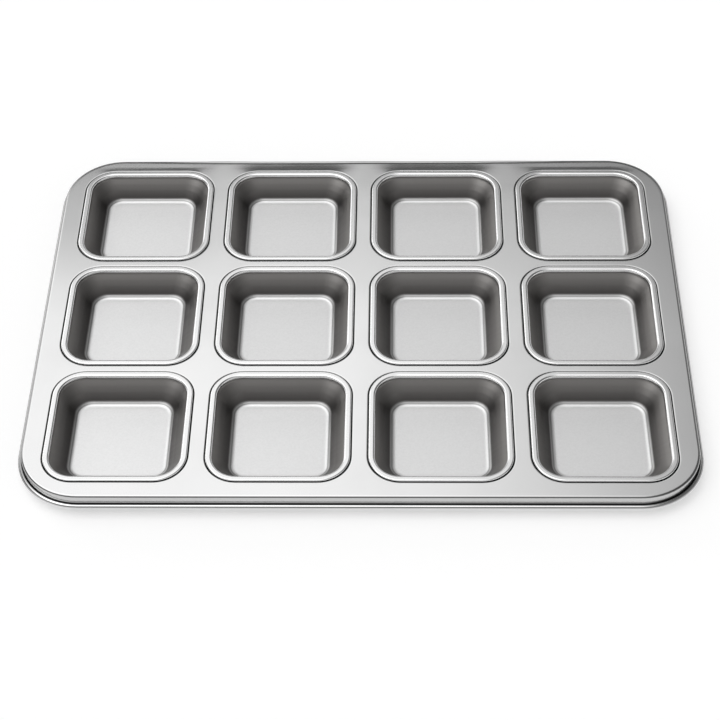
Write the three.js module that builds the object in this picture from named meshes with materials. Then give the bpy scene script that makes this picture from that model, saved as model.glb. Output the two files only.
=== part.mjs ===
// A square muffin pan: twelve drawn cups locked into one punched top plate,
// whose edge is bent down and rolled round a stiffening wire.
// Millimetres, +Z up. The cups' undersides stand on Z = 0, and the origin is under the pan's middle.
import * as THREE from "three";

// The cup: a drawn square tray. Its flat lip lies in the plate's seat, and a swaged ridge locks it there
const CUP_OPENING = 76.5; // inside width of the neck that passes through the plate
const CUP_FLOOR = 58; // inside width where wall and floor would meet without a fillet
const CUP_DEPTH = 14; // plate's top face down to the floor's top face
const CUP_GAUGE = 0.5; // sheet thickness
const OPENING_CORNER_RADIUS = 14.9; // inside corner of the neck
const FLOOR_CORNER_RADIUS = 9.5; // inside corner where wall and floor would meet
const FLOOR_FILLET = 5; // inside round between wall and floor
const WALL_BOW = 0.7; // how far the wall bows in at mid height, which makes it flare towards the top
const LIP_WIDTH = 3.9; // neck's inside to the lip's outside
const LIP_HEIGHT = 0.8; // plate's top face to the lip's crest
const LIP_INNER_RADIUS = 1.4; // outside round from the neck to the lip
const LIP_OUTER_RADIUS = 0.8; // outside round of the lip's outer edge
const RIDGE_PROUD = 0.6; // how far the lock ridge stands out of the neck
const RIDGE_HEIGHT = 1.6; // top of the lock ridge to the top of the leaning wall

// The top plate and the grid of cups in it
const CUP_COLUMNS = 4;
const ROW_NAMES = ["front", "middle", "back"];
const COLUMN_GAP = 10.4; // between neighbouring lips along X
const ROW_GAP = 6; // between neighbouring lips along Y
const END_MARGIN = 15.8; // outer lips to the pan's ends, along X
const SIDE_MARGIN = 14.2; // outer lips to the pan's long sides, along Y
const PAN_CORNER_RADIUS = 39; // outside of the rolled rim
const PLATE_GAUGE = 0.5; // sheet thickness
const SEAT_DEPTH = 0.5; // how far the plate is pressed down under the lips
const SEAT_BEND_RADIUS = 0.8; // both bends of the step down to the seat
const SEAM_CLEARANCE = 0.3; // between two sheets that are pressed together

// The rolled rim and its wire
const EDGE_BEND_RADIUS = 1.5; // outside round from plate to skirt
const RIM_DROP = 8.9; // plate's top face to the rolled bead's underside
const WIRE_DIAMETER = 1.6;
const WIRE_CLEARANCE = 0.25; // round the wire, inside the bead
const WIRE_BUTT_GAP = 1; // between the wire's two ends, in the middle of the back

// Facets
const CUP_CORNER_STEPS = 4;
const PAN_CORNER_STEPS = 6;
const FILLET_STEPS = 2;
const SEAT_BEND_STEPS = 1;
const LIP_INNER_STEPS = 2;
const LIP_OUTER_STEPS = 1;
const EDGE_BEND_STEPS = 2;
const BEAD_STEPS = 8;
const WIRE_SIDES = 8;

// Sizes that follow
const LIP_OUTSIDE = CUP_OPENING + 2 * LIP_WIDTH;
const COLUMN_PITCH = LIP_OUTSIDE + COLUMN_GAP;
const ROW_PITCH = LIP_OUTSIDE + ROW_GAP;
const PAN_LENGTH = (CUP_COLUMNS - 1) * COLUMN_PITCH + LIP_OUTSIDE + 2 * END_MARGIN;
const PAN_WIDTH = (ROW_NAMES.length - 1) * ROW_PITCH + LIP_OUTSIDE + 2 * SIDE_MARGIN;
const PLATE_TOP = CUP_DEPTH + CUP_GAUGE;
const LIP_FOOT = SEAM_CLEARANCE - SEAT_DEPTH; // end of the lip's outer edge
const LIP_ROUND = Math.min(LIP_OUTER_RADIUS, 0.95 * (LIP_HEIGHT - LIP_FOOT)); // within the lip's edge
const HOLE_OFFSET = CUP_GAUGE + SEAM_CLEARANCE; // neck's inside to the edge of the plate's hole
const RIDGE_TOP = -SEAT_DEPTH - PLATE_GAUGE - SEAM_CLEARANCE; // below the plate's top face
const WALL_TOP = RIDGE_TOP - RIDGE_HEIGHT;
const BEAD_RADIUS = WIRE_DIAMETER / 2 + WIRE_CLEARANCE + PLATE_GAUGE;
const BEAD_Z = BEAD_RADIUS - RIM_DROP;
const SKIRT_INSET = 2 * BEAD_RADIUS - PLATE_GAUGE; // pan's outside to the skirt's outer face

const QUARTER = Math.PI / 2;
const HALF_TURN = Math.PI;

// Points of an arc, clockwise if it ends at a smaller angle than it starts
function arc(x, y, radius, from, to, steps) {
  return new THREE.EllipseCurve(x, y, radius, radius, from, to, to < from).getPoints(steps);
}

// A rounded rectangle round (x, y), anticlockwise from above, with the same point count at every size
function roundedOutline(x, y, halfX, halfY, radius, steps) {
  const corners = [[1, 1], [-1, 1], [-1, -1], [1, -1]];
  return corners.flatMap(([sideX, sideY], quarter) => {
    const centreX = x + sideX * (halfX - radius);
    const centreY = y + sideY * (halfY - radius);
    return arc(centreX, centreY, radius, quarter * QUARTER, (quarter + 1) * QUARTER, steps);
  });
}

// The other face of a bent sheet: the line moved to its right by the gauge, and mitred at the bends
function otherFace(line, gauge) {
  const rightOf = (from, to) => new THREE.Vector2(to.y - from.y, from.x - to.x).normalize();
  return line.map((p, i) => {
    const before = i > 0 ? rightOf(line[i - 1], p) : rightOf(p, line[1]);
    const after = i < line.length - 1 ? rightOf(p, line[i + 1]) : before;
    const reach = gauge / (1 + before.dot(after));
    return before.clone().add(after).multiplyScalar(reach).add(p);
  });
}

// Collects rings of points and the faces between them, as one closed surface
class Skin {
  constructor() {
    this.points = [];
    this.faces = [];
  }

  ring(points) {
    return points.map((p) => this.points.push(p) - 1);
  }

  level(outline, z) {
    return this.ring(outline.map((p) => new THREE.Vector3(p.x, p.y, z)));
  }

  // Faces from each ring to the next
  bridge(rings) {
    for (let k = 1; k < rings.length; k++) {
      const [a, b] = [rings[k - 1], rings[k]];
      a.forEach((first, i) => {
        const next = (i + 1) % a.length;
        this.faces.push(first, a[next], b[next], first, b[next], b[i]);
      });
    }
  }

  // A level face inside one ring and outside the hole rings
  flat(ring, holes, facesUp) {
    const flatten = ({ x, y }) => new THREE.Vector2(x, y);
    const fromAbove = (indices) => indices.map((i) => flatten(this.points[i]));
    const order = [ring, ...holes].flat();
    for (const face of THREE.ShapeUtils.triangulateShape(fromAbove(ring), holes.map(fromAbove))) {
      const [a, b, c] = face.map((i) => order[i]);
      const anticlockwise = THREE.ShapeUtils.area(fromAbove([a, b, c])) > 0;
      this.faces.push(...(anticlockwise === facesUp ? [a, b, c] : [a, c, b]));
    }
  }

  // A fan of faces over the end of a tube
  end(ring) {
    for (let k = 1; k < ring.length - 1; k++) this.faces.push(ring[0], ring[k], ring[k + 1]);
  }

  geometry() {
    const made = new THREE.BufferGeometry().setFromPoints(this.points).setIndex(this.faces);
    made.computeVertexNormals();
    return made;
  }
}

// Inside corner radius of the cup where its inside half width is `half`
function cupCornerRadius(half) {
  const floorHalf = CUP_FLOOR / 2;
  const neckHalf = CUP_OPENING / 2;
  if (half <= floorHalf) return FLOOR_CORNER_RADIUS + half - floorHalf;
  if (half >= neckHalf) return OPENING_CORNER_RADIUS + half - neckHalf;
  return THREE.MathUtils.mapLinear(half, floorHalf, neckHalf, FLOOR_CORNER_RADIUS, OPENING_CORNER_RADIUS);
}

// The cup's inside in section, from the middle of the floor up the wall and over the lip
function cupLine() {
  const neck = CUP_OPENING / 2;
  const lipOutside = neck + LIP_WIDTH;
  const foot = new THREE.Vector2(CUP_FLOOR / 2, -CUP_DEPTH);
  const top = new THREE.Vector2(neck, WALL_TOP);
  const along = top.clone().sub(foot).normalize();
  const bow = new THREE.Vector2(-along.y, along.x).multiplyScalar(WALL_BOW);
  const middle = foot.clone().lerp(top, 0.5).add(bow);
  const lean = Math.atan2(middle.x - foot.x, middle.y - foot.y);
  const filletHalf = foot.x - FLOOR_FILLET * Math.tan((QUARTER - lean) / 2);
  const lipArc = (x, radius, from, to, steps) => arc(x, LIP_HEIGHT - radius, radius, from, to, steps);
  return [
    new THREE.Vector2(0, -CUP_DEPTH),
    ...arc(filletHalf, FLOOR_FILLET - CUP_DEPTH, FLOOR_FILLET, -QUARTER, -lean, FILLET_STEPS),
    middle,
    top,
    new THREE.Vector2(neck + RIDGE_PROUD, (WALL_TOP + RIDGE_TOP) / 2),
    new THREE.Vector2(neck, RIDGE_TOP),
    ...lipArc(neck + LIP_INNER_RADIUS, LIP_INNER_RADIUS, HALF_TURN, QUARTER, LIP_INNER_STEPS),
    ...lipArc(lipOutside - LIP_ROUND, LIP_ROUND, QUARTER, 0, LIP_OUTER_STEPS),
    new THREE.Vector2(lipOutside, LIP_FOOT),
  ];
}

function cupGeometry() {
  const skin = new Skin();
  const inside = cupLine();
  const outside = otherFace(inside, CUP_GAUGE);
  const ringAt = (p, radius) => skin.level(roundedOutline(0, 0, p.x, p.x, radius, CUP_CORNER_STEPS), p.y);
  const insideRings = inside.slice(1).map((p) => ringAt(p, cupCornerRadius(p.x)));
  const outsideRings = outside.slice(1).map((p, i) => {
    const beside = inside[i + 1];
    return ringAt(p, cupCornerRadius(beside.x) + p.x - beside.x);
  });
  skin.bridge([...outsideRings, ...insideRings.toReversed()]);
  skin.flat(outsideRings[0], [], false);
  skin.flat(insideRings[0], [], true);
  return skin.geometry();
}

// The plate's top face in section, measured out from the skirt: over the edge, down and into the bead
function rimLine() {
  const wireHole = BEAD_RADIUS - PLATE_GAUGE;
  const rollEnd = HALF_TURN - Math.acos((wireHole - SEAM_CLEARANCE) / BEAD_RADIUS);
  return [
    new THREE.Vector2(-2 * EDGE_BEND_RADIUS, 0),
    ...arc(-EDGE_BEND_RADIUS, -EDGE_BEND_RADIUS, EDGE_BEND_RADIUS, QUARTER, 0, EDGE_BEND_STEPS),
    ...arc(wireHole, BEAD_Z, wireHole, -HALF_TURN, rollEnd, BEAD_STEPS),
  ];
}

// The plate's top face round a hole in section, measured out from the cup's middle: the seat and its step
function seatLine() {
  const foot = CUP_OPENING / 2 + LIP_WIDTH;
  const turn = Math.acos(1 - SEAT_DEPTH / (2 * SEAT_BEND_RADIUS));
  const head = foot + 2 * SEAT_BEND_RADIUS * Math.sin(turn);
  const lowZ = SEAT_BEND_RADIUS - SEAT_DEPTH;
  const rise = arc(foot, lowZ, SEAT_BEND_RADIUS, -QUARTER, turn - QUARTER, SEAT_BEND_STEPS);
  const crown = arc(head, -SEAT_BEND_RADIUS, SEAT_BEND_RADIUS, QUARTER + turn, QUARTER, SEAT_BEND_STEPS);
  return [
    new THREE.Vector2(CUP_OPENING / 2 + HOLE_OFFSET, -SEAT_DEPTH),
    ...rise,
    ...crown.slice(1),
    new THREE.Vector2(head + SEAT_BEND_RADIUS, 0),
  ];
}

// The pan's outline, moved in from the outside of the rim
function panOutline(inset) {
  const radius = PAN_CORNER_RADIUS - inset;
  return roundedOutline(0, 0, PAN_LENGTH / 2 - inset, PAN_WIDTH / 2 - inset, radius, PAN_CORNER_STEPS);
}

const cupPlaces = ROW_NAMES.flatMap((row, r) =>
  Array.from({ length: CUP_COLUMNS }, (_, c) => ({
    name: `cup_${row}_${c + 1}`,
    x: (c - (CUP_COLUMNS - 1) / 2) * COLUMN_PITCH,
    y: (r - (ROW_NAMES.length - 1) / 2) * ROW_PITCH,
  })),
);

function plateGeometry() {
  const skin = new Skin();
  const top = rimLine();
  const under = otherFace(top, PLATE_GAUGE);
  const ringAt = (p) => skin.level(panOutline(SKIRT_INSET - p.x), p.y);
  const topRings = top.slice(1).map(ringAt);
  const underRings = under.slice(1).map(ringAt);
  skin.bridge([...underRings, ...topRings.toReversed()]);
  const seatTop = seatLine();
  const seatUnder = otherFace(seatTop, PLATE_GAUGE);
  const holes = cupPlaces.map(({ x, y }) => {
    const seatRing = (p) => {
      const radius = OPENING_CORNER_RADIUS + p.x - CUP_OPENING / 2;
      return skin.level(roundedOutline(x, y, p.x, p.x, radius, CUP_CORNER_STEPS), p.y);
    };
    const above = seatTop.slice(0, -1).map(seatRing);
    const below = seatUnder.slice(0, -1).map(seatRing);
    const rings = [...above.toReversed(), ...below];
    skin.bridge(rings);
    return { top: rings[0], under: rings.at(-1) };
  });
  skin.flat(topRings[0], holes.map((hole) => hole.top), true);
  skin.flat(underRings[0], holes.map((hole) => hole.under), false);
  return skin.geometry();
}

// The wire follows the middle of the bead, with its two ends butted in the middle of the back
function wireGeometry() {
  const skin = new Skin();
  const path = panOutline(BEAD_RADIUS);
  const backY = PAN_WIDTH / 2 - BEAD_RADIUS;
  const leftHalf = PAN_CORNER_STEPS + 1; // the path starts with the back right corner
  const route = [
    new THREE.Vector2(-WIRE_BUTT_GAP / 2, backY),
    ...path.slice(leftHalf),
    ...path.slice(0, leftHalf),
    new THREE.Vector2(WIRE_BUTT_GAP / 2, backY),
  ];
  const section = arc(0, 0, WIRE_DIAMETER / 2, 0, -2 * HALF_TURN, WIRE_SIDES).slice(1);
  const rings = route.map((p, i) => {
    const before = route[Math.max(0, i - 1)];
    const after = route[Math.min(route.length - 1, i + 1)];
    const along = after.clone().sub(before).normalize();
    return skin.ring(section.map((s) =>
      new THREE.Vector3(p.x + along.y * s.x, p.y - along.x * s.x, BEAD_Z + s.y),
    ));
  });
  skin.bridge(rings);
  skin.end(rings[0].toReversed());
  skin.end(rings.at(-1));
  return skin.geometry();
}

// Finishes: bright tinned sheet, and plain drawn wire
const plateTin = new THREE.MeshStandardMaterial({ color: 0xd8d9da, roughness: 0.24, metalness: 1 });
const cupTin = new THREE.MeshStandardMaterial({ color: 0xcfcfce, roughness: 0.3, metalness: 1 });
const wireSteel = new THREE.MeshStandardMaterial({ color: 0x9c9ea0, roughness: 0.4, metalness: 1 });

function piece(name, geometry, material) {
  const mesh = new THREE.Mesh(geometry, material);
  mesh.name = name;
  return mesh;
}

const pan = new THREE.Group();
const level = new THREE.Group(); // its origin is on the plate's top face
level.position.z = PLATE_TOP;
pan.add(level);

level.add(piece("top_plate", plateGeometry(), plateTin));
level.add(piece("rim_wire", wireGeometry(), wireSteel));

const cupShape = cupGeometry();
for (const { name, x, y } of cupPlaces) {
  const cup = piece(name, cupShape, cupTin);
  cup.position.set(x, y, 0);
  level.add(cup);
}

export default pan;
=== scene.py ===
# %% [markdown]
# # A square muffin pan
# The pan is a catering tray of tinned steel: one punched top plate, its edge bent down and rolled
# round a wire, and twelve drawn cups that hang in the plate's holes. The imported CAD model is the
# frame: it says where each piece is and how big it is. This script makes the same pieces again with
# smooth bends, real sheet edges and a tin finish, and puts them under a soft panel of light.

# %% Load the frame
import math
import bpy
from mathutils import Matrix, Vector


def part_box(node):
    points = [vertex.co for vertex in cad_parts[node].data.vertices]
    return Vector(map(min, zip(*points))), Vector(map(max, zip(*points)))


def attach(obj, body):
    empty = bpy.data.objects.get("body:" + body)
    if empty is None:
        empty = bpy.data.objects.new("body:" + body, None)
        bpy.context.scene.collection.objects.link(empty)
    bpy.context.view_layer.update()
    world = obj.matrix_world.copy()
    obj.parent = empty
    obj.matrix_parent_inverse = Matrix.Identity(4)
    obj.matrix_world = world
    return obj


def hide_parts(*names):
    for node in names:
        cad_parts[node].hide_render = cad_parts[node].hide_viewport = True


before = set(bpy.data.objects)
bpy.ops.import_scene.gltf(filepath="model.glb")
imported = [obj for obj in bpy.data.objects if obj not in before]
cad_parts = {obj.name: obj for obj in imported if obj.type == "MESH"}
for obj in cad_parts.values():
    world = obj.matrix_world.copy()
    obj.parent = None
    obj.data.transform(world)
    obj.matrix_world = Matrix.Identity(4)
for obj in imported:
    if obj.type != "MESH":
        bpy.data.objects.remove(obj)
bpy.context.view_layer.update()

# %% [markdown]
# ## Sizes
# Every piece is bent or drawn, so a few sizes describe all of it. They could all be typed in, but
# places and outside sizes are read from the frame instead, so that no piece can drift away from the
# CAD model. Sizes that a box cannot tell, such as gauge, clearance and lip width, are typed in
# where they are needed.

# %% Sizes from the frame
MM = 0.001  # sizes are written in millimetres, and Blender works in metres
plate_low, plate_high = (Vector(corner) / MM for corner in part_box("top_plate"))
cup_low, cup_high = (Vector(corner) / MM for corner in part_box("cup_front_1"))
PAN_LENGTH = round(plate_high.x - plate_low.x, 1)
PAN_WIDTH = round(plate_high.y - plate_low.y, 1)
COLUMN_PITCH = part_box("cup_front_2")[0][0] / MM - cup_low.x
ROW_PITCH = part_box("cup_middle_1")[0][1] / MM - cup_low.y
PLATE_TOP = plate_high.z
GAUGE = 0.5  # thickness of the sheet, in plate and cups alike
SEAM_CLEARANCE = 0.3  # between plate and cup
LIP_WIDTH = 3.9
LIP_HEIGHT = cup_high.z - PLATE_TOP
CUP_DEPTH = PLATE_TOP - GAUGE - cup_low.z
NECK_HALF = (cup_high.x - cup_low.x) / 2 - LIP_WIDTH
print(f"pan {PAN_LENGTH} x {PAN_WIDTH} mm, its top at {PLATE_TOP:.2f} mm")
print(f"cups {COLUMN_PITCH:.2f} and {ROW_PITCH:.2f} mm apart, {CUP_DEPTH:.2f} mm deep")

# %% [markdown]
# ## Two small helpers
# Colours are written as the hex values that a screen shows, and Blender's shaders want linear
# light, so one function converts them. Node trees could be wired by hand in the editor. Here one
# function adds a node, sets it up and links its inputs, for shader trees and geometry trees alike.

# %% Helpers
def linear(hex_code):
    channels = [int(hex_code[i:i + 2], 16) / 255 for i in (0, 2, 4)]
    return [c / 12.92 if c <= 0.04045 else ((c + 0.055) / 1.055) ** 2.4 for c in channels] + [1]


def add(tree, kind, inputs=None, **settings):
    node = tree.nodes.new(kind)
    for name, value in settings.items():
        setattr(node, name, value)
    for key, value in (inputs or {}).items():
        if isinstance(value, bpy.types.Node):
            value = next(socket for socket in value.outputs if socket.enabled)
        if isinstance(value, bpy.types.NodeSocket):
            tree.links.new(value, node.inputs[key])
        else:
            node.inputs[key].default_value = value
    return node


print("middle grey 808080 is", round(linear("808080")[0], 3), "in linear light")

# %% [markdown]
# ## Tinned steel, bright as rolled
# The plate is cold rolled sheet with a bright coat of tin, which gives the eye a pale, nearly
# neutral mirror. The rolls leave a fine grain along the sheet, and the tin sets in soft clouds.
# Both could be painted as colour, but on bright metal the eye sees them as sharper and softer
# reflections, so they drive the roughness. The tin is painted nearly black as shade in the rim's
# crevice and in the seams beside the lips. It is painted darker, as shade and dark reflections, in
# the bend, on the skirt and in a fine line along the bead. An attribute of the mesh says where. The
# bead is also painted darker towards the pan's left end, so the white it mirrors reads grey there,
# which a place on the rim's section and a place along the pan pick out.

# %% Metals and patterns
def metal(name):
    material = bpy.data.materials.new(name)
    material.use_nodes = True
    shader = material.node_tree.nodes["Principled BSDF"]
    shader.inputs["Metallic"].default_value = 1
    return material, material.node_tree, shader


def pattern(tree, place, length, width, height, detail=2):
    scale = (1 / length, 1 / width, 1 / height)
    scaled = add(tree, "ShaderNodeMapping", {"Vector": place, "Scale": scale})
    return add(tree, "ShaderNodeTexNoise", {"Vector": scaled, "Scale": 1, "Detail": detail})


print("materials so far", len(bpy.data.materials))

# %% Plate finish, the mirror
GRAIN_WIDTH = 0.9 * MM  # real rolling grain is near 0.1 mm, drawn coarser so that it shows
GRAIN_LENGTH = 40 * MM
GRAIN_SHARE = 0.5  # of the clouds' strength
CLOUD = 38 * MM
PATTERN_SPREAD = (0.45, 1.05)  # usual range of grain and clouds together
MIRROR_ROUGHNESS = (0.09, 0.15)  # nearly sharp, edges soften by a few degrees, unevenly
plate_tin, tree, shader = metal("tinned_steel_bright_rolled")
place = add(tree, "ShaderNodeTexCoord").outputs["Object"]
grain = pattern(tree, place, GRAIN_LENGTH, GRAIN_WIDTH, GRAIN_WIDTH)
cloud = pattern(tree, place, CLOUD, CLOUD, CLOUD)
both = add(tree, "ShaderNodeMath", {0: grain, 1: GRAIN_SHARE, 2: cloud}, operation="MULTIPLY_ADD")
rough = add(tree, "ShaderNodeMapRange", {
    "Value": both, "From Min": PATTERN_SPREAD[0], "From Max": PATTERN_SPREAD[1],
    "To Min": MIRROR_ROUGHNESS[0], "To Max": MIRROR_ROUGHNESS[1]})
unshaded = add(tree, "ShaderNodeMix", {
    "Factor": cloud, "A": linear("e5e5e5"), "B": linear("dfdfdf")}, data_type="RGBA")
tree.links.new(rough.outputs[0], shader.inputs["Roughness"])
print("plate roughness from", MIRROR_ROUGHNESS[0], "to", MIRROR_ROUGHNESS[1])

# %% Plate finish, the painted shade
BEAD_PART = (7 * MM, 7.4 * MM)  # along the rim's section, where the bead begins
LEFT_END = (-195 * MM, -178 * MM)  # where the bead's painted darkening is strongest, and where it ends
LEFT_END_PAINTED_DARKENING = 0.55
painted_shade = add(tree, "ShaderNodeAttribute", attribute_name="painted_shade").outputs["Fac"]
on_rim = add(tree, "ShaderNodeAttribute", attribute_name="section_point").outputs["Vector"]
out = add(tree, "ShaderNodeSeparateXYZ", {0: on_rim}).outputs["X"]
along = add(tree, "ShaderNodeSeparateXYZ", {0: place}).outputs["X"]
on_bead = add(tree, "ShaderNodeMapRange", {
    "Value": out, "From Min": BEAD_PART[0], "From Max": BEAD_PART[1]})
at_left_end = add(tree, "ShaderNodeMapRange", {
    "Value": along, "From Min": LEFT_END[0], "From Max": LEFT_END[1],
    "To Min": LEFT_END_PAINTED_DARKENING, "To Max": 0})
painted_left_darkening = add(tree, "ShaderNodeMath", {0: on_bead, 1: at_left_end}, operation="MULTIPLY")
painted_shade = add(tree, "ShaderNodeMath", {0: painted_shade, 1: painted_left_darkening}, operation="MAXIMUM")
# Painted shade: where the attribute and the left end's darkening say, the tin turns near black
# 2a2a29
tone = add(tree, "ShaderNodeMix", {
    "Factor": painted_shade, "A": unshaded, "B": linear("2a2a29")}, data_type="RGBA")
tree.links.new(tone.outputs["Result"], shader.inputs["Base Color"])
print(plate_tin.name, len(tree.nodes), "nodes")

# %% [markdown]
# ## Tinned steel, as drawn
# A cup is drawn from the same sheet. The die drags the tin thin on the walls, which gives the eye a
# warm, dull skin with faint marks up it. The walls' dark colour is partly painted shade, painted
# darker still towards the floor. The punch only presses on the floor, which keeps a satin skin with
# a fine speckle, and a dark line painted round it in the fillet stands in for a dark reflection
# there. The lip is as bright as the plate. It could be three materials on three groups of faces,
# but the skins run into each other, so one material blends them by height.

# %% Cup finish, where each skin lies
FLOOR_BLEND = (0.6 * MM, 2.4 * MM)  # height over which the floor's skin turns to the wall's
FOOT_SHADE_HEIGHT = 1.05 * MM  # height of the painted dark line in the fillet, 0.55 mm above the floor
FOOT_SHADE_HALF = 0.4 * MM  # half the line's width
FOOT_SHADE_STRENGTH = 0.6
WALL_SHADE_RISE = (3 * MM, 11 * MM)  # height over which the wall's painted shade lightens
LIP_BLEND = ((PLATE_TOP - 1.6) * MM, (PLATE_TOP - 0.6) * MM)  # from the wall's skin to the lip's
SPECKLE = 1.1 * MM  # real speckle is near 0.2 mm, drawn coarser so that it shows
DRAW_MARK = 1.5 * MM  # real draw marks are near 0.2 mm, drawn coarser so that they show
RING_UNIT = NECK_HALF / 2 * MM  # one unit of the ring that a cup is swept along
cup_tin, tree, shader = metal("tinned_steel_drawn")
place = add(tree, "ShaderNodeTexCoord").outputs["Object"]
around = add(tree, "ShaderNodeAttribute", attribute_name="ring_point").outputs["Vector"]
speckle = pattern(tree, place, SPECKLE, SPECKLE, SPECKLE, detail=3)
marks = pattern(tree, around, DRAW_MARK / RING_UNIT, DRAW_MARK / RING_UNIT, 1)
height = add(tree, "ShaderNodeSeparateXYZ", {0: place}).outputs["Z"]
wall = add(tree, "ShaderNodeMapRange", {
    "Value": height, "From Min": FLOOR_BLEND[0], "From Max": FLOOR_BLEND[1],
}, interpolation_type="SMOOTHSTEP")
off_line = add(tree, "ShaderNodeMath", {0: height, 1: FOOT_SHADE_HEIGHT}, operation="SUBTRACT")
off_line = add(tree, "ShaderNodeMath", {0: off_line}, operation="ABSOLUTE")
foot_shade_line = add(tree, "ShaderNodeMapRange", {
    "Value": off_line, "From Max": FOOT_SHADE_HALF, "To Min": FOOT_SHADE_STRENGTH, "To Max": 0,
}, interpolation_type="SMOOTHSTEP")
wall_shade_fade = add(tree, "ShaderNodeMapRange", {
    "Value": height, "From Min": WALL_SHADE_RISE[0], "From Max": WALL_SHADE_RISE[1]})
lip = add(tree, "ShaderNodeMapRange", {
    "Value": height, "From Min": LIP_BLEND[0], "From Max": LIP_BLEND[1]})
print("satin up to", FLOOR_BLEND[1] / MM, "mm, lip from", round(LIP_BLEND[0] / MM, 2), "mm")

# %% Cup finish, what each skin is
FLOOR_ROUGHNESS = (0.42, 0.52)
WALL_ROUGHNESS = (0.38, 0.46)
LIP_ROUGHNESS = 0.13
MARKS_SPREAD = (0.3, 0.7)  # usual range of the draw marks' pattern
satin = add(tree, "ShaderNodeMapRange", {
    "Value": speckle, "To Min": FLOOR_ROUGHNESS[0], "To Max": FLOOR_ROUGHNESS[1]})
drawn = add(tree, "ShaderNodeMapRange", {
    "Value": marks, "From Min": MARKS_SPREAD[0], "From Max": MARKS_SPREAD[1],
    "To Min": WALL_ROUGHNESS[0], "To Max": WALL_ROUGHNESS[1]})
rough = add(tree, "ShaderNodeMix", {"Factor": wall, "A": satin, "B": drawn})
rough = add(tree, "ShaderNodeMix", {"Factor": lip, "A": rough, "B": LIP_ROUGHNESS})
skin = add(tree, "ShaderNodeMix", {
    "Factor": speckle, "A": linear("f4f4f4"), "B": linear("e8e8e8")}, data_type="RGBA")
wall_skin_and_shade = add(tree, "ShaderNodeMix", {
    "Factor": wall_shade_fade, "A": linear("5d5b5a"), "B": linear("868482")}, data_type="RGBA")
# Painted shade: the wall's dark skin, darker towards the floor, and a painted dark line 4a4948 in
# the fillet
for part, colour in ((wall, wall_skin_and_shade), (foot_shade_line, linear("4a4948")), (lip, linear("e6e6e6"))):
    skin = add(tree, "ShaderNodeMix", {"Factor": part, "A": skin, "B": colour}, data_type="RGBA")
tree.links.new(rough.outputs["Result"], shader.inputs["Roughness"])
tree.links.new(skin.outputs["Result"], shader.inputs["Base Color"])
print(cup_tin.name, len(tree.nodes), "nodes")

# %% [markdown]
# ## Drawn steel wire
# The wire in the rolled edge is plain steel, pulled through a die and left as it came. That gives
# the eye a darker, bluer grey than tin, with fine scratches that scatter the light. Hardly any of
# it shows, so one pattern drives both its colour and its roughness.

# %% Wire finish
SCRATCH = 0.4 * MM  # real scratches are near 0.05 mm, drawn coarser so that they show
WIRE_ROUGHNESS = (0.28, 0.5)
wire_steel, tree, shader = metal("steel_drawn_wire")
place = add(tree, "ShaderNodeTexCoord").outputs["Object"]
scratches = pattern(tree, place, SCRATCH, SCRATCH, SCRATCH)
rough = add(tree, "ShaderNodeMapRange", {
    "Value": scratches, "To Min": WIRE_ROUGHNESS[0], "To Max": WIRE_ROUGHNESS[1]})
tone = add(tree, "ShaderNodeMix", {
    "Factor": scratches, "A": linear("a6a8aa"), "B": linear("8d8f91")}, data_type="RGBA")
tree.links.new(rough.outputs[0], shader.inputs["Roughness"])
tree.links.new(tone.outputs["Result"], shader.inputs["Base Color"])
print(wire_steel.name, len(tree.nodes), "nodes")

# %% [markdown]
# ## Section lines
# A bent sheet is easiest to describe by its section, a line that runs over its visible face. It
# could be drawn as a curve with handles, but a folder works with corners and bend radii, so a
# corner here is a place and a radius, and the arc is worked out. Points close to both ends of each
# straight keep the shading flat there.

# %% Rounded lines
SAME_POINT = 0.01  # mm, closer points count as one
BEND_STEP = math.radians(7)  # turn from point to point in a bend
SUPPORT = 0.3  # mm from the ends of a straight to the extra points on it


def rounded(corners, step=BEND_STEP):
    line = [Vector(corners[0][:2])]
    for before, here, after in zip(corners, corners[1:], corners[2:]):
        point = Vector(here[:2])
        back = (Vector(before[:2]) - point).normalized()
        ahead = (Vector(after[:2]) - point).normalized()
        turn = math.pi - back.angle(ahead)
        centre = point + (back + ahead).normalized() * here[2] / math.cos(turn / 2)
        start = point + back * here[2] * math.tan(turn / 2) - centre
        way = math.copysign(turn, back.cross(ahead) * -1)
        steps = max(2, math.ceil(turn / step))
        line += [centre + Matrix.Rotation(way * k / steps, 2) @ start for k in range(steps + 1)]
    line.append(Vector(corners[-1][:2]))
    return [p for i, p in enumerate(line) if i == 0 or (p - line[i - 1]).length > SAME_POINT]


def supported(line):
    points = [line[0]]
    for a, b in zip(line, line[1:]):
        if (b - a).length > 3 * SUPPORT:
            along = (b - a).normalized() * SUPPORT
            points += [a + along, b - along]
        points.append(b)
    return points


right_angle = rounded([(0, 0, 0), (5, 0, 1), (5, 5, 0)])
print("a right angle of 1 mm radius takes", len(right_angle), "points")

# %% [markdown]
# ## Lines that remember
# A point of a section can carry more than its place. Here it also carries how much painted shade
# lies on the tin there, worked out from the distance to a few spots, and the number of its line,
# because one object can hold two sections. Both are stored as attributes of a mesh of edges, which
# a geometry tree can read and pass on to the finished surface.

# %% Painted shade and line objects
def with_painted_shade(line, *spots):
    made = []
    for p in line:
        shades = []
        for at, dark, unshaded, most in spots:
            share = (unshaded - (p - at).length) / (unshaded - dark)
            shades.append(most * min(1, max(0, share)))
        made.append(Vector((p.x, p.y, max(shades))))
    return made


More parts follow.
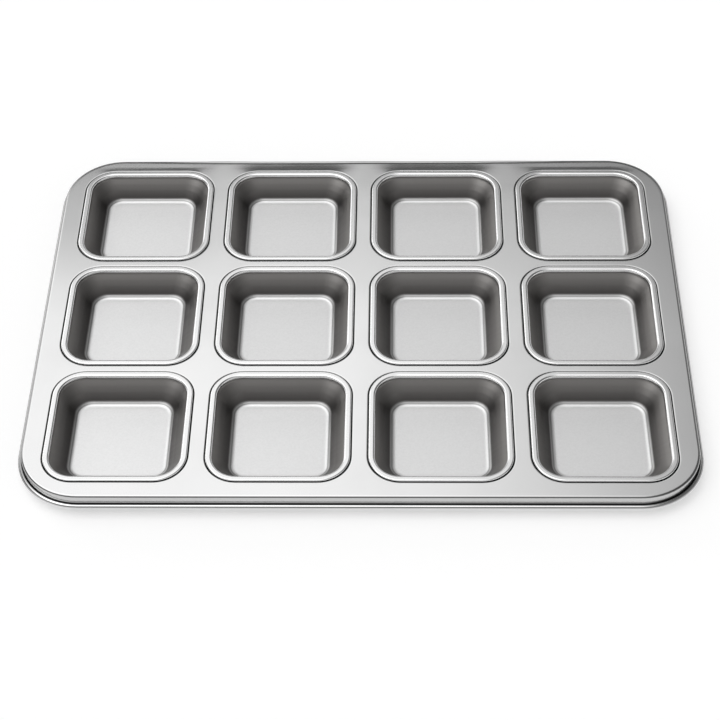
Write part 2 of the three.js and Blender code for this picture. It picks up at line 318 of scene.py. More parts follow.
def line_object(name, *lines):
    mesh = bpy.data.meshes.new(name)
    points = [(p.x * MM, 0, p.y * MM) for line in lines for p in line]
    number = [k for k, line in enumerate(lines) for p in line]
    shade = [p.z if len(p) == 3 else 0 for line in lines for p in line]
    steps = range(len(points) - 1)
    mesh.from_pydata(points, [(i, i + 1) for i in steps if number[i] == number[i + 1]], [])
    mesh.attributes.new("line_number", "INT", "POINT").data.foreach_set("value", number)
    mesh.attributes.new("painted_shade", "FLOAT", "POINT").data.foreach_set("value", shade)
    made = bpy.data.objects.new(name, mesh)
    bpy.context.scene.collection.objects.link(made)
    return made


ruler = [Vector((x, 0)) for x in (0, 2, 4)]
print("tarnish 0, 2 and 4 mm from a spot:", [p.z for p in with_painted_shade(ruler, (ruler[0], 1, 3, 1))])

# %% [markdown]
# ## From a line to a piece
# Each piece is a section line with a geometry tree on it as a modifier, and the tree's sizes are
# named inputs. These trees all end alike: smooth shading, instances made real, and the finish. For
# a sheet the tree makes only the visible face, and a Solidify modifier then gives it its gauge, as
# real sheet has one everywhere. The result is copied into a plain mesh, because only plain meshes
# travel with a body of the frame.

# %% Trees and pieces
SHARP = math.radians(40)  # edges that turn by more stay sharp


def new_tree(name, sizes):
    tree = bpy.data.node_groups.new(name, "GeometryNodeTree")
    tree.interface.new_socket("Geometry", in_out="OUTPUT", socket_type="NodeSocketGeometry")
    tree.interface.new_socket("Section", in_out="INPUT", socket_type="NodeSocketGeometry")
    for size, kind in sizes.items():
        tree.interface.new_socket(size, in_out="INPUT", socket_type="NodeSocket" + kind)
    return tree, tree.nodes.new("NodeGroupInput").outputs


def finish_tree(tree, shape, finish):
    shape = add(tree, "GeometryNodeSetShadeSmooth", {"Geometry": shape})
    shape = add(tree, "GeometryNodeRealizeInstances", {"Geometry": shape})
    shape = add(tree, "GeometryNodeSetMaterial", {"Geometry": shape, "Material": finish})
    add(tree, "NodeGroupOutput", {"Geometry": shape})


def made_piece(name, lines, tree, values, gauge):
    piece = line_object(name, *lines)
    modifier = piece.modifiers.new("Shape", "NODES")
    modifier.node_group = tree
    for socket in tree.interface.items_tree:
        if socket.in_out == "INPUT" and socket.name in values:
            modifier[socket.identifier] = values[socket.name]
    if gauge:
        sheet = piece.modifiers.new("Gauge", "SOLIDIFY")
        sheet.thickness = gauge * MM
        sheet.offset = -1
        sheet.use_even_offset = True
    bpy.context.view_layer.update()
    evaluated = piece.evaluated_get(bpy.context.evaluated_depsgraph_get())
    final = bpy.data.meshes.new_from_object(evaluated)
    piece.modifiers.clear()
    piece.data = final
    final.name = name
    final.set_sharp_from_angle(angle=SHARP)
    return piece


print("trees so far", len(bpy.data.node_groups))

# %% [markdown]
# ## A cup's section
# A cup is a square tray, drawn in one blow. From the middle of its floor the section runs out, up
# the bowed wall, over the ridge that is swaged under the plate to lock the cup, through the neck
# and out over the lip, which lies in a shallow seat of the plate. Heights are counted from the top
# of the plate.

# %% The cup's section
FLOOR_HALF = 29
FLOOR_FILLET = 5
WALL_BOW = 0.7
WALL_BOW_RADIUS = 40
SEAT_DEPTH = 0.5
RIDGE_PROUD = 0.6
RIDGE_HEIGHT = 1.6
RIDGE_ROUND = 0.5
RIDGE_FOOT_ROUND = 0.6
LIP_INNER = 1.4  # radius of the bend from the neck into the lip
LIP_OUTER = 0.8  # radius of the bend at the lip's outer edge
ridge_top = -SEAT_DEPTH - GAUGE - SEAM_CLEARANCE
wall_top = ridge_top - RIDGE_HEIGHT
foot = Vector((FLOOR_HALF, -CUP_DEPTH))
top = Vector((NECK_HALF, wall_top))
bowed = (foot + top) / 2 + (top - foot).orthogonal().normalized() * WALL_BOW
cup_line = supported(rounded([
    (0, -CUP_DEPTH, 0),
    (FLOOR_HALF, -CUP_DEPTH, FLOOR_FILLET),
    (bowed.x, bowed.y, WALL_BOW_RADIUS),
    (NECK_HALF, wall_top, RIDGE_FOOT_ROUND),
    (NECK_HALF + RIDGE_PROUD, (wall_top + ridge_top) / 2, RIDGE_ROUND),
    (NECK_HALF, ridge_top, RIDGE_FOOT_ROUND),
    (NECK_HALF, LIP_HEIGHT, LIP_INNER),
    (NECK_HALF + LIP_WIDTH, LIP_HEIGHT, LIP_OUTER),
    (NECK_HALF + LIP_WIDTH, SEAM_CLEARANCE - SEAT_DEPTH, 0),
]))
floor_flat = cup_line[2].x  # the extra point just short of the fillet
print("cup section", len(cup_line), "points, flat floor to", round(floor_flat, 2), "mm")

# %% [markdown]
# ## Sweeping a cup
# The cup's corners grow rounder from floor to neck. A loft between two rounded squares would do
# that, and so would a plain sweep that is pushed about by hand. The tree here sweeps the section
# along a unit ring, a rounded square with straights of 2 and corners of 1, and each point keeps its
# place on the section and on the ring as attributes.

# %% The cup's tree
CORNER_POINTS = 48
RING_SIDE = 4
RING_CORNER = 1


def rounded_rectangle(tree, width, height, corner, corner_points, points):
    path = add(tree, "GeometryNodeCurvePrimitiveQuadrilateral", {"Width": width, "Height": height})
    path = add(tree, "GeometryNodeFilletCurve", {
        "Curve": path, "Count": corner_points, "Radius": corner}, mode="POLY")
    return add(tree, "GeometryNodeResampleCurve", {"Curve": path, "Count": points})


cup_tree, cup_in = new_tree("drawn_cup", {
    "Floor half width": "Float",
    "Floor corner": "Float",
    "Neck half width": "Float",
    "Neck corner": "Float",
    "Flat floor half width": "Float",
    "Points around": "Int",
    "Place": "Vector",
    "Finish": "Material",
})
tree = cup_tree
here = add(tree, "GeometryNodeInputPosition")
section = add(tree, "GeometryNodeMeshToCurve", {"Mesh": cup_in["Section"]})
section = add(tree, "GeometryNodeStoreNamedAttribute", {
    "Geometry": section, "Name": "section_point", "Value": here}, data_type="FLOAT_VECTOR")
ring = rounded_rectangle(
    tree, RING_SIDE, RING_SIDE, RING_CORNER, CORNER_POINTS, cup_in["Points around"])
ring = add(tree, "GeometryNodeStoreNamedAttribute", {
    "Geometry": ring, "Name": "ring_point", "Value": here}, data_type="FLOAT_VECTOR")
swept = add(tree, "GeometryNodeCurveToMesh", {"Curve": ring, "Profile Curve": section})
print("sweep", len(tree.nodes), "nodes")

# %% [markdown]
# ## The rule of a cup's corners
# At a given half width the corner radius follows from three lines: on the wall it runs from the
# floor's corner to the neck's, below the floor's edge it shrinks as fast as the half width, and
# above the neck it grows as fast. On the flat floor it shrinks to nothing at the middle. Smaller
# and larger of the lines pick the right one each time.

# %% The cup's corner radius
on_section = add(
    tree, "GeometryNodeInputNamedAttribute", {"Name": "section_point"}, data_type="FLOAT_VECTOR")
half, _, height = add(tree, "ShaderNodeSeparateXYZ", {0: on_section}).outputs
below = add(tree, "ShaderNodeMath", {0: half, 1: cup_in["Floor half width"]}, operation="SUBTRACT")
below = add(tree, "ShaderNodeMath", {0: below, 1: cup_in["Floor corner"]}, operation="ADD")
above = add(tree, "ShaderNodeMath", {0: half, 1: cup_in["Neck half width"]}, operation="SUBTRACT")
above = add(tree, "ShaderNodeMath", {0: above, 1: cup_in["Neck corner"]}, operation="ADD")
wall = add(tree, "ShaderNodeMapRange", {
    "Value": half,
    "From Min": cup_in["Floor half width"], "From Max": cup_in["Neck half width"],
    "To Min": cup_in["Floor corner"], "To Max": cup_in["Neck corner"],
}, clamp=False)
at_flat = add(tree, "ShaderNodeMath", {
    0: cup_in["Flat floor half width"], 1: cup_in["Floor half width"]}, operation="SUBTRACT")
at_flat = add(tree, "ShaderNodeMath", {0: at_flat, 1: cup_in["Floor corner"]}, operation="ADD")
share = add(tree, "ShaderNodeMath", {
    0: at_flat, 1: cup_in["Flat floor half width"]}, operation="DIVIDE")
on_floor = add(tree, "ShaderNodeMath", {0: half, 1: share}, operation="MULTIPLY")
corner = add(tree, "ShaderNodeMath", {0: below, 1: wall}, operation="MINIMUM")
corner = add(tree, "ShaderNodeMath", {0: corner, 1: above}, operation="MAXIMUM")
corner = add(tree, "ShaderNodeMath", {0: corner, 1: on_floor}, operation="MAXIMUM")
print("corner rule up to node", len(tree.nodes))

# %% [markdown]
# ## Moving the points
# A point of the unit ring splits into its place on a sharp square and the arc beyond it. Scaling
# the first by half width less corner radius, and the second by the corner radius, gives every level
# of the cup. The floor's middle is then a ring of points in one place, so points closer than a hair
# are merged.

# %% The cup's points
HAIR = 0.002 * MM
straight = add(tree, "ShaderNodeMath", {0: half, 1: corner}, operation="SUBTRACT")
on_ring = add(
    tree, "GeometryNodeInputNamedAttribute", {"Name": "ring_point"}, data_type="FLOAT_VECTOR")
square = add(tree, "ShaderNodeVectorMath", {0: on_ring, 1: (-1, -1, 0)}, operation="MAXIMUM")
square = add(tree, "ShaderNodeVectorMath", {0: square, 1: (1, 1, 0)}, operation="MINIMUM")
arc = add(tree, "ShaderNodeVectorMath", {0: on_ring, 1: square}, operation="SUBTRACT")
square = add(tree, "ShaderNodeVectorMath", {0: square, "Scale": straight}, operation="SCALE")
arc = add(tree, "ShaderNodeVectorMath", {0: arc, "Scale": corner}, operation="SCALE")
point = add(tree, "ShaderNodeVectorMath", {0: square, 1: arc}, operation="ADD")
lift = add(tree, "ShaderNodeCombineXYZ", {"Z": height})
point = add(tree, "ShaderNodeVectorMath", {0: point, 1: lift}, operation="ADD")
point = add(tree, "ShaderNodeVectorMath", {0: point, 1: cup_in["Place"]}, operation="ADD")
shell = add(tree, "GeometryNodeSetPosition", {"Geometry": swept, "Position": point})
shell = add(tree, "GeometryNodeMergeByDistance", {"Geometry": shell, "Distance": HAIR})
finish_tree(tree, shell, cup_in["Finish"])
print("cup tree", len(tree.nodes), "nodes")

# %% [markdown]
# ## Twelve cups
# The cups are alike, and each is a piece of its own on the real pan, pressed into its hole. One
# mesh on twelve instances would be lighter, but each cup has to replace its own node of the frame.
# So the tree runs twelve times, with the place of each cup from its node's box.

# %% Twelve cups
FLOOR_CORNER = 9.5
NECK_CORNER = 14.9
CUP_POINTS = 128
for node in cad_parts:
    if node.startswith("cup_"):
        low, high = (Vector(corner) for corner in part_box(node))
        middle = (low + high) / 2
        cup = made_piece(node.replace("cup_", "cup_shell_"), [cup_line], cup_tree, {
            "Floor half width": FLOOR_HALF * MM,
            "Floor corner": FLOOR_CORNER * MM,
            "Neck half width": NECK_HALF * MM,
            "Neck corner": NECK_CORNER * MM,
            "Flat floor half width": floor_flat * MM,
            "Points around": CUP_POINTS,
            "Place": (middle.x, middle.y, PLATE_TOP * MM),
            "Finish": cup_tin,
        }, GAUGE)
        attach(cup, "root")
        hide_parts(node)
        print(cup.name, len(cup.data.polygons), "faces")

# %% [markdown]
# ## The edge of the plate
# The plate is one punched sheet. Its edge is bent down into a short skirt, and the skirt's lower
# edge is rolled outwards round a wire into a bead. Its section starts in the flat margin, where a
# band of the plate begins that is swept all round, and ends where the curl nearly meets the skirt.
# That crevice is painted nearly black as shade. Lighter painted shade lies in the bend and on the
# skirt, for the dark they mirror, and in a fine line along the bead.

# %% The rim's section
BAND = 10.2  # from the pan's outside to where the swept edge begins
PAN_CORNER = 39
EDGE_BEND = 1.5
RIM_DROP = 8.9  # from the plate's top to the bead's lowest point
WIRE_RADIUS = 0.8
WIRE_CLEARANCE = 0.25
CURL_STEPS = 24
CREVICE_POINTS = (1, 0.3, -0.5)  # heights above the crevice of extra points on the skirt
bore = WIRE_RADIUS + WIRE_CLEARANCE
bead = bore + GAUGE
bead_z = bead - RIM_DROP
skirt = BAND - (2 * bead - GAUGE)
roll_end = math.pi - math.acos((bore - SEAM_CLEARANCE) / bead)
turns = [-math.pi + (roll_end + math.pi) * k / CURL_STEPS for k in range(CURL_STEPS + 1)]
curl = [Vector((skirt + bore + bore * math.cos(a), bead_z + bore * math.sin(a))) for a in turns]
crevice = Vector((skirt + SEAM_CLEARANCE, bead_z + bead * math.sin(roll_end)))
rim_line = supported(rounded([
    (0, 0, 0),
    (skirt, 0, EDGE_BEND),
    *((skirt, crevice.y + above, 0) for above in CREVICE_POINTS),
    (curl[0].x, curl[0].y, 0),
])) + curl[1:]
print("rim section", len(rim_line), "points, bead", round(2 * bead, 2), "mm across")

# %% Tarnish on the rim
MARGIN_STEPS = 12
BEND_MIDDLE = 0.3  # part of the bend's radius, in and down from its sharp corner
BEAD_SHADE_ANGLE = math.radians(35)  # from the bead's outermost point up to the painted dark line
margin = [Vector((rim_line[2].x * k / MARGIN_STEPS, 0)) for k in range(MARGIN_STEPS)]
bend = Vector((skirt - BEND_MIDDLE * EDGE_BEND, -BEND_MIDDLE * EDGE_BEND))
face = Vector((skirt, crevice.y / 2))
bead_shade_spot = Vector((bore, 0))
bead_shade_spot.rotate(Matrix.Rotation(BEAD_SHADE_ANGLE, 2))
bead_shade_spot += Vector((skirt + bore, bead_z))
# Each row is a spot of painted shade, how far from it the shade is darkest and is gone, and how
# dark it gets
rim_line = with_painted_shade(
    margin + rim_line[2:],
    (bend, 0.2, 1, 0.8),
    (face, 1.4, 3, 0.3),
    (crevice, 0.45, 0.9, 1),
    (bead_shade_spot, 0.15, 0.5, 0.65),
)
print("rim section with margin", len(rim_line), "points")

# %% [markdown]
# ## The seat round a hole
# Each lip lies in a shallow seat, pressed into the plate round its hole. The seat's section is a
# step of two equal bends. It is painted nearly black as shade from the seam beside the lip to just
# short of the step's head, which also hides the step's own highlight. A level strip beside the step
# keeps its slope out of the smooth shading of the flat plate.

# %% The seat's section
SEAT_BEND = 0.8
SEAT_FLAT = 0.5
SEAT_STEP = math.radians(12)
SEAM_SHADE_REACH = (0.5, 0.1)  # mm short of the step's head, where the painted shade begins to fade, and where it is gone
seat_turn = math.acos(1 - SEAT_DEPTH / (2 * SEAT_BEND))
seat_reach = 2 * SEAT_BEND * math.tan(seat_turn / 2)
seat_head = 2 * SEAT_BEND * math.sin(seat_turn)
seat_foot = Vector((GAUGE + SEAM_CLEARANCE - LIP_WIDTH - seat_head, -SEAT_DEPTH))
seat_line = supported(rounded([
    (seat_foot.x, seat_foot.y, 0),
    (seat_reach / 2 - seat_head, -SEAT_DEPTH, SEAT_BEND),
    (-seat_reach / 2, 0, SEAT_BEND),
    (SEAT_FLAT, 0, 0),
], SEAT_STEP))
dark, clear = (-seat_foot.x - short for short in SEAM_SHADE_REACH)
# painted shade, nearly black in the seam and up the step
seat_line = with_painted_shade(seat_line, (seat_foot, dark, clear, 1))
seat_line = [p - Vector((SEAT_FLAT, 0, 0)) for p in seat_line]
print("seat section", len(seat_line), "points, step", round(seat_head, 2), "mm wide")

# %% [markdown]
# ## A sheet along a path
# Rim and seats are the same job: a section that follows a closed path. Curve to Mesh does that, but
# it lets the section lean with the path's own twist. This small group stores the path's sideways
# direction before the sweep and sets every point from it afterwards, so that the sheet stays
# upright. The plate's tree uses the group twice.

# %% A sheet along a path
bent_tree, bent_in = new_tree("bent_sheet", {"Path": "Geometry"})
tree = bent_tree
here = add(tree, "GeometryNodeInputPosition")
tangent = add(tree, "GeometryNodeInputTangent")
sideways = add(tree, "ShaderNodeVectorMath", {0: tangent, 1: (0, 0, 1)}, operation="CROSS_PRODUCT")
section = add(tree, "GeometryNodeMeshToCurve", {"Mesh": bent_in["Section"]})
section = add(tree, "GeometryNodeStoreNamedAttribute", {
    "Geometry": section, "Name": "section_point", "Value": here}, data_type="FLOAT_VECTOR")
path = add(tree, "GeometryNodeStoreNamedAttribute", {
    "Geometry": bent_in["Path"], "Name": "path_point", "Value": here}, data_type="FLOAT_VECTOR")
path = add(tree, "GeometryNodeStoreNamedAttribute", {
    "Geometry": path, "Name": "path_outward", "Value": sideways}, data_type="FLOAT_VECTOR")
swept = add(tree, "GeometryNodeCurveToMesh", {"Curve": path, "Profile Curve": section})
on_section, on_path, outward = (
    add(tree, "GeometryNodeInputNamedAttribute", {"Name": name}, data_type="FLOAT_VECTOR")
    for name in ("section_point", "path_point", "path_outward"))
out, _, height = add(tree, "ShaderNodeSeparateXYZ", {0: on_section}).outputs
moved = add(tree, "ShaderNodeVectorMath", {0: outward, "Scale": out}, operation="SCALE")
point = add(tree, "ShaderNodeVectorMath", {0: on_path, 1: moved}, operation="ADD")
lift = add(tree, "ShaderNodeCombineXYZ", {"Z": height})
point = add(tree, "ShaderNodeVectorMath", {0: point, 1: lift}, operation="ADD")
swept = add(tree, "GeometryNodeSetPosition", {"Geometry": swept, "Position": point})
add(tree, "NodeGroupOutput", {"Geometry": swept})
print(bent_tree.name, len(tree.nodes), "nodes")

# %% [markdown]
# ## The plate's tree, rim first
# The plate's object holds two section lines, rim and seat. The tree tells them apart by line number
# and sweeps the rim along a rounded rectangle, which also is the outer edge of the flat web. Both
# take the same points of that outline, so they can be merged later without a gap.

# %% The plate's tree
OUTLINE_CORNER_POINTS = 96
plate_tree, plate_in = new_tree("punched_plate", {
    "Length": "Float",
    "Width": "Float",
    "Corner": "Float",
    "Points around": "Int",
    "Column pitch": "Float",
    "Row pitch": "Float",
    "Seat width": "Float",
    "Seat corner": "Float",
    "Points around a seat": "Int",
    "Margin start": "Float",
    "Margin width": "Float",
    "Margin width at the ends": "Float",
    "Margin fall": "Float",
    "Margin rise": "Float",
    "Groove place": "Float",
    "Groove place at the ends": "Float",
    "Groove half width": "Float",
    "Groove depth": "Float",
    "Top": "Float",
    "Finish": "Material",
})
tree = plate_tree
number = add(tree, "GeometryNodeInputNamedAttribute", {"Name": "line_number"}, data_type="INT")
lines = add(tree, "GeometryNodeSeparateGeometry", {
    "Geometry": plate_in["Section"], "Selection": number})
outline = rounded_rectangle(
    tree, plate_in["Length"], plate_in["Width"], plate_in["Corner"],
    OUTLINE_CORNER_POINTS, plate_in["Points around"])
rim = add(tree, "GeometryNodeGroup", {
    "Section": lines.outputs["Inverted"], "Path": outline}, node_tree=bent_tree)
print("rim", len(tree.nodes), "nodes")

# %% [markdown]
# ## Seats, holes and web
# One seat and one hole edge are made and set out on a grid of four by three points, as the press
# does it with one tool. The flat web between could be cut with Booleans, but those leave ragged
# triangles. Fill Curve fills between the outline and the twelve hole edges at once, and its points
# fall on those of the rim and the seats.

# %% Seats, holes and web
COLUMNS = 4
ROWS = 3
SEAT_CORNER_POINTS = 64
hole = rounded_rectangle(
    tree, plate_in["Seat width"], plate_in["Seat width"], plate_in["Seat corner"],
    SEAT_CORNER_POINTS, plate_in["Points around a seat"])
seat = add(tree, "GeometryNodeGroup", {
    "Section": lines.outputs["Selection"], "Path": hole}, node_tree=bent_tree)
span_x = add(tree, "ShaderNodeMath", {
    0: plate_in["Column pitch"], 1: COLUMNS - 1}, operation="MULTIPLY")
span_y = add(tree, "ShaderNodeMath", {
    0: plate_in["Row pitch"], 1: ROWS - 1}, operation="MULTIPLY")
places = add(tree, "GeometryNodeMeshGrid", {
    "Size X": span_x, "Size Y": span_y, "Vertices X": COLUMNS, "Vertices Y": ROWS})
holes = add(tree, "GeometryNodeInstanceOnPoints", {"Points": places, "Instance": hole})
holes = add(tree, "GeometryNodeRealizeInstances", {"Geometry": holes})
seats = add(tree, "GeometryNodeInstanceOnPoints", {"Points": places, "Instance": seat})
seats = add(tree, "GeometryNodeRealizeInstances", {"Geometry": seats})
edges = add(tree, "GeometryNodeJoinGeometry", {"Geometry": outline})
tree.links.new(holes.outputs[0], edges.inputs[0])
web = add(tree, "GeometryNodeFillCurve", {"Curve": edges}, mode="TRIANGLES")
sheet = add(tree, "GeometryNodeJoinGeometry", {"Geometry": rim})
tree.links.new(web.outputs[0], sheet.inputs[0])
tree.links.new(seats.outputs[0], sheet.inputs[0])
sheet = add(tree, "GeometryNodeMergeByDistance", {"Geometry": sheet, "Distance": HAIR})
print("sheet", len(tree.nodes), "nodes")

# %% [markdown]
# ## The margin's fall
# Rolling the edge pulls on the sheet, so the margin behind the back row isn't quite level. Behind
# each cup it falls by about a fiftieth, and between the cups it stays up. A fifth of a millimetre
# is nothing to a ruler, but a mirror shows it: the falling stretches look past the panel of light
# and turn dark. A cosine along the row gives the places, and a squared ease lets the fall start at
# the lip and die out at the edge.

# %% The margin's fall
WAVE_START = 0.1  # value of the cosine above which the fall turns to rise
END_COLUMNS = (0.9, 1.2)  # columns from the middle, where the margin's width changes
spot = add(tree, "ShaderNodeSeparateXYZ", {0: add(tree, "GeometryNodeInputPosition")}).outputs
aside = add(tree, "ShaderNodeMath", {
    0: spot["Y"], 1: plate_in["Margin start"]}, operation="SUBTRACT")
columns = add(tree, "ShaderNodeMath", {
    0: spot["X"], 1: plate_in["Column pitch"]}, operation="DIVIDE")
angle = add(tree, "ShaderNodeMath", {0: columns, 1: 2 * math.pi}, operation="MULTIPLY")
wave = add(tree, "ShaderNodeMath", {0: angle}, operation="COSINE")
slope = add(tree, "ShaderNodeMapRange", {
    "Value": wave, "From Min": WAVE_START,
    "To Min": plate_in["Margin fall"], "To Max": plate_in["Margin rise"]})
off_centre = add(tree, "ShaderNodeMath", {0: columns}, operation="ABSOLUTE")
give = add(tree, "ShaderNodeMapRange", {
    "Value": off_centre, "From Min": END_COLUMNS[0], "From Max": END_COLUMNS[1],
    "To Min": plate_in["Margin width"], "To Max": plate_in["Margin width at the ends"],
}, interpolation_type="SMOOTHSTEP")
share = add(tree, "ShaderNodeMath", {0: aside, 1: give}, operation="DIVIDE", use_clamp=True)
rest = add(tree, "ShaderNodeMath", {0: 2, 1: share}, operation="SUBTRACT")
eased = add(tree, "ShaderNodeMath", {0: share, 1: rest}, operation="MULTIPLY")
eased = add(tree, "ShaderNodeMath", {0: eased, 1: give}, operation="MULTIPLY")
drop = add(tree, "ShaderNodeMath", {
    0: eased, 1: slope, 2: plate_in["Top"]}, operation="MULTIPLY_ADD")
print("margin up to node", len(tree.nodes))

# %% [markdown]
# ## The groove beside the edge
# The bending tool also presses on the sheet beside the edge that it bends, and leaves a groove of a
# few hundredths of a millimetre along the back. It could be part of the rim's section, but it
# drifts towards the edge at the pan's ends, so the tree presses it in afterwards. In the mirror it
# is a dark line with a light one outside it.

# %% The groove and the finished sheet
GROOVE_DRIFT = (1, 1.6)  # columns from the middle, where the drift begins and where it ends
groove = add(tree, "ShaderNodeMapRange", {
    "Value": off_centre, "From Min": GROOVE_DRIFT[0], "From Max": GROOVE_DRIFT[1],
    "To Min": plate_in["Groove place"], "To Max": plate_in["Groove place at the ends"]})
on_rim = add(
    tree, "GeometryNodeInputNamedAttribute", {"Name": "section_point"}, data_type="FLOAT_VECTOR")
out = add(tree, "ShaderNodeSeparateXYZ", {0: on_rim}).outputs["X"]
off_groove = add(tree, "ShaderNodeMath", {0: out, 1: groove}, operation="SUBTRACT")
off_groove = add(tree, "ShaderNodeMath", {0: off_groove}, operation="ABSOLUTE")
press = add(tree, "ShaderNodeMapRange", {
    "Value": off_groove, "From Max": plate_in["Groove half width"],
    "To Min": plate_in["Groove depth"], "To Max": 0}, interpolation_type="SMOOTHSTEP")
at_back = add(tree, "ShaderNodeMapRange", {
    "Value": spot["Y"], "From Min": plate_in["Row pitch"], "From Max": plate_in["Margin start"]})
press = add(tree, "ShaderNodeMath", {0: press, 1: at_back}, operation="MULTIPLY")
drop = add(tree, "ShaderNodeMath", {0: drop, 1: press}, operation="SUBTRACT")
lift = add(tree, "ShaderNodeCombineXYZ", {"Z": drop})
sheet = add(tree, "GeometryNodeSetPosition", {"Geometry": sheet, "Offset": lift})
finish_tree(tree, sheet, plate_in["Finish"])
print("plate tree", len(tree.nodes), "nodes")

# %% [markdown]
# ## The plate
# With the tree ready, the plate is a list of sizes. The outline lies one band inside the pan's
# outside, and the seat's edge lies outside the lip by the step and its level strip.

# %% The plate
OUTLINE_POINTS = 440
SEAT_POINTS = 120
seat_half = NECK_HALF + LIP_WIDTH + seat_head + SEAT_FLAT
plate = made_piece("plate_sheet", [rim_line, seat_line], plate_tree, {
    "Length": (PAN_LENGTH - 2 * BAND) * MM,
    "Width": (PAN_WIDTH - 2 * BAND) * MM,
    "Corner": (PAN_CORNER - BAND) * MM,
    "Points around": OUTLINE_POINTS,
    "Column pitch": COLUMN_PITCH * MM,
    "Row pitch": ROW_PITCH * MM,
    "Seat width": 2 * seat_half * MM,
    "Seat corner": (NECK_CORNER + seat_half - NECK_HALF) * MM,
    "Points around a seat": SEAT_POINTS,
    "Margin start": (ROW_PITCH + NECK_HALF + LIP_WIDTH) * MM,
    "Margin width": 10.5 * MM,
    "Margin width at the ends": 5.2 * MM,
    "Margin fall": -0.022,  # mm for each mm of width
    "Margin rise": 0.003,
    "Groove place": 5.1 * MM,
    "Groove place at the ends": 6.3 * MM,
    "Groove half width": 1.3 * MM,
    "Groove depth": 0.036 * MM,
    "Top": PLATE_TOP * MM,
    "Finish": plate_tin,
}, GAUGE)
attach(plate, "root")
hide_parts("top_plate")
print("plate", len(plate.data.polygons), "faces")

# %% [markdown]
# ## The stiffening wire
# A rolled edge is rolled round a wire, which keeps it straight. The wire is one length, bent to the
# pan's outline, and its two ends meet in the middle of the back. It could be a curve with a bevel,
# but a tree that sweeps a circle along the route closes both ends and gives a plain mesh, as for
# the other pieces.

# %% The wire's route
BUTT_GAP = 1  # between the wire's two ends
ROUTE_STEP = math.radians(3)
back_y = PAN_WIDTH / 2 - bead
side_x = PAN_LENGTH / 2 - bead
turn_radius = PAN_CORNER - bead
route = rounded([
    (-BUTT_GAP / 2, back_y, 0),
    (-side_x, back_y, turn_radius),
    (-side_x, -back_y, turn_radius),
    (side_x, -back_y, turn_radius),
    (side_x, back_y, turn_radius),
    (BUTT_GAP / 2, back_y, 0),
], ROUTE_STEP)
length = sum((b - a).length for a, b in zip(route, route[1:]))
print("wire", round(length), "mm long, in", len(route), "points")

# %% The wire
WIRE_SIDES = 16
wire_tree, wire_in = new_tree("bent_wire", {
    "Radius": "Float",
    "Height": "Float",
    "Finish": "Material",
})
tree = wire_tree
path = add(tree, "GeometryNodeMeshToCurve", {"Mesh": wire_in["Section"]})
height = add(tree, "ShaderNodeCombineXYZ", {"Z": wire_in["Height"]})
path = add(tree, "GeometryNodeTransform", {
    "Geometry": path, "Translation": height, "Rotation": (-math.pi / 2, 0, 0)})
circle = add(tree, "GeometryNodeCurvePrimitiveCircle", {
    "Resolution": WIRE_SIDES, "Radius": wire_in["Radius"]})
wire = add(tree, "GeometryNodeCurveToMesh", {
    "Curve": path, "Profile Curve": circle, "Fill Caps": True})
finish_tree(tree, wire, wire_in["Finish"])
stiffening_wire = made_piece("stiffening_wire", [route], wire_tree, {
    "Radius": WIRE_RADIUS * MM,
    "Height": (PLATE_TOP + bead_z) * MM,
    "Finish": wire_steel,
}, 0)
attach(stiffening_wire, "root")
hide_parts("rim_wire")
print("wire", len(stiffening_wire.data.polygons), "faces")

# %% [markdown]
# ## The floor
# The pan lies on white paper. A plain white floor would render grey beside bright tin, and more
# light would burn out the tin instead. So the paper is a pale grey that takes the pan's shadow, and
# it glows a little, but only for the camera and in reflections, which lifts it to white without
# lighting the pan.

# %% Floor
FLOOR_RADIUS = 6  # metres
FLOOR_SIDES = 96
PAPER_GLOW = 0.45
bpy.ops.mesh.primitive_circle_add(vertices=FLOOR_SIDES, radius=FLOOR_RADIUS, fill_type="NGON")
floor = bpy.context.object
floor.name = "pale_floor"
paper = bpy.data.materials.new("white_paper_floor")
paper.use_nodes = True
tree = paper.node_tree
tree.nodes.clear()
ray = add(tree, "ShaderNodeLightPath").outputs
seen = add(tree, "ShaderNodeMath", {
    0: ray["Is Camera Ray"], 1: ray["Is Glossy Ray"]}, operation="MAXIMUM")
seen = add(tree, "ShaderNodeMath", {0: seen, 1: ray["Is Transmission Ray"]}, operation="MAXIMUM")
glow = add(tree, "ShaderNodeMath", {0: seen, 1: PAPER_GLOW}, operation="MULTIPLY")
lit = add(tree, "ShaderNodeBsdfDiffuse", {"Color": linear("d3d3d3")})
shine = add(tree, "ShaderNodeEmission", {"Strength": glow})
both = add(tree, "ShaderNodeAddShader", {0: lit, 1: shine})
add(tree, "ShaderNodeOutputMaterial", {"Surface": both})
floor.data.materials.append(paper)
print("floor", 2 * FLOOR_RADIUS, "m across")

# %% [markdown]
# ## The light, as a ceiling
# Bright tin is mostly a picture of what is around it. Area lamps would show in it as hard
# rectangles, so the light is painted on the world instead, as a function of direction. It helps to
# think of a ceiling one metre above the pan: east and north are metres to the right and to the back
# on it, and a soft edge is a smooth step between two such places. The back edge of the panel leans
# on the left side, by a share of the way past a knee.

